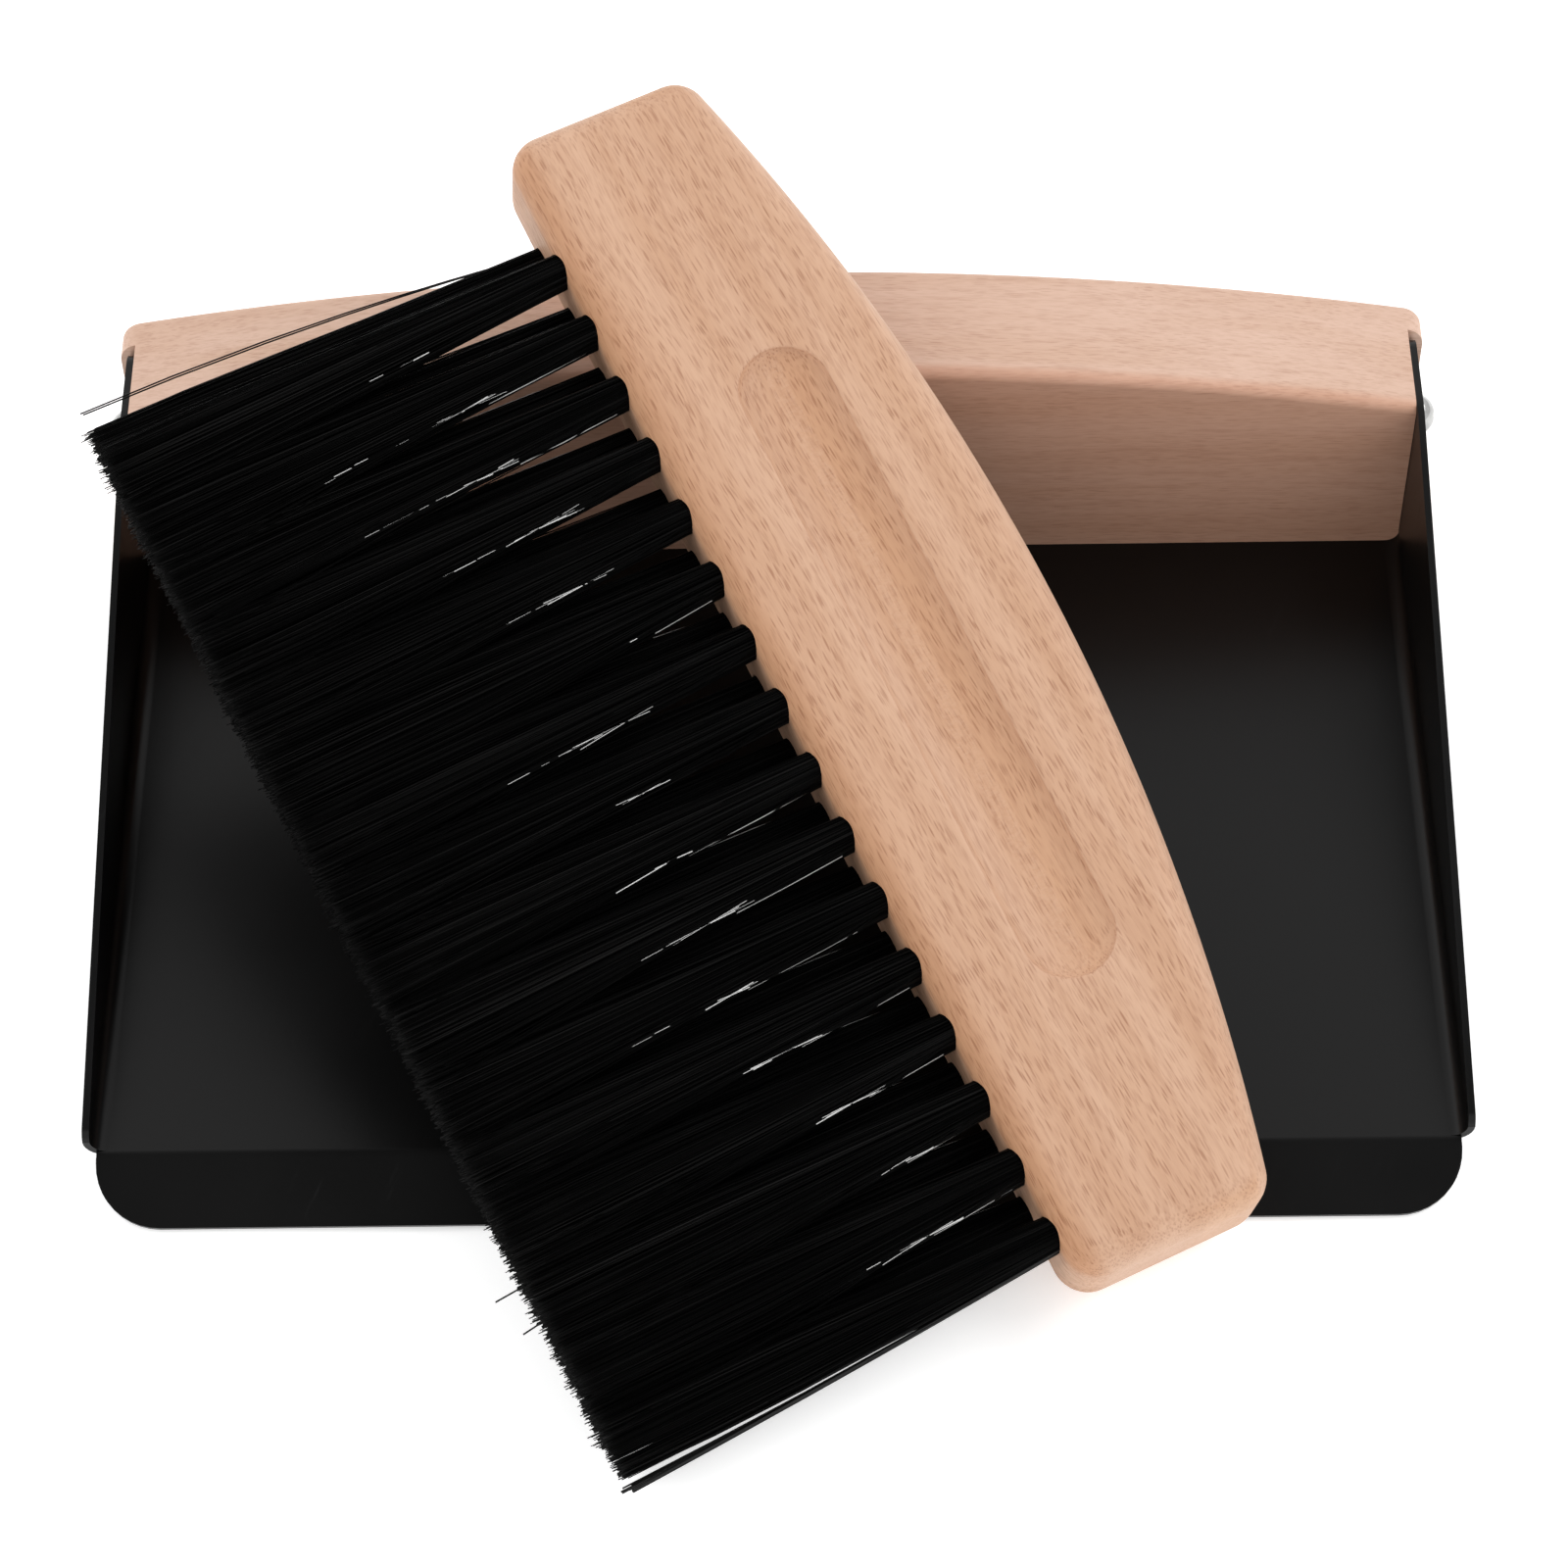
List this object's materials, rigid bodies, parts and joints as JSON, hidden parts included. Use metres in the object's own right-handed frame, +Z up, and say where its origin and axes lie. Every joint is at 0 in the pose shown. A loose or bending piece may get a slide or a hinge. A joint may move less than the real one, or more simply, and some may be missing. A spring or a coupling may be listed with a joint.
{
  "type": "dustpan and brush",
  "caption": "Folded steel dustpan with an arched wooden handle block across its back, and a wooden hand brush with rows of bristle tufts leaning across it.",
  "frame": {"origin": "middle of the handle block's underside, on the surface that the set stands on", "axes": "+X to the right across the pan, +Y from the lip towards the handle block, +Z up"},
  "size_m": [0.2368, 0.2357, 0.0882],
  "materials": {
    "pan_coating": "satin powder coat, black",
    "handle_wood": "oiled beech",
    "brush_wood": "oiled beech",
    "screw_metal": "polished",
    "anchor_wire": "drawn wire",
    "bristles": "black filament"
  },
  "bodies": {
    "dustpan": {"pan_sheet": "pan_coating", "pan_handle": "handle_wood", "handle_screw_left": "screw_metal", "handle_screw_right": "screw_metal"},
    "brush": {"brush_block": "brush_wood", "tuft_anchors": "anchor_wire", "tuft_pair_01": "bristles", "tuft_pair_02": "bristles", "tuft_pair_03": "bristles", "tuft_pair_04": "bristles", "tuft_pair_05": "bristles", "tuft_pair_06": "bristles", "tuft_pair_07": "bristles", "tuft_pair_08": "bristles", "tuft_pair_09": "bristles", "tuft_pair_10": "bristles", "tuft_pair_11": "bristles", "tuft_pair_12": "bristles", "tuft_pair_13": "bristles", "tuft_pair_14": "bristles", "tuft_pair_15": "bristles", "tuft_pair_16": "bristles"}
  },
  "joints": [
    {"name": "brush_lift", "type": "slide", "parent": "dustpan", "child": "brush", "axis": [0, 0, 1], "range_m": [0, 0.15]}
  ]
}
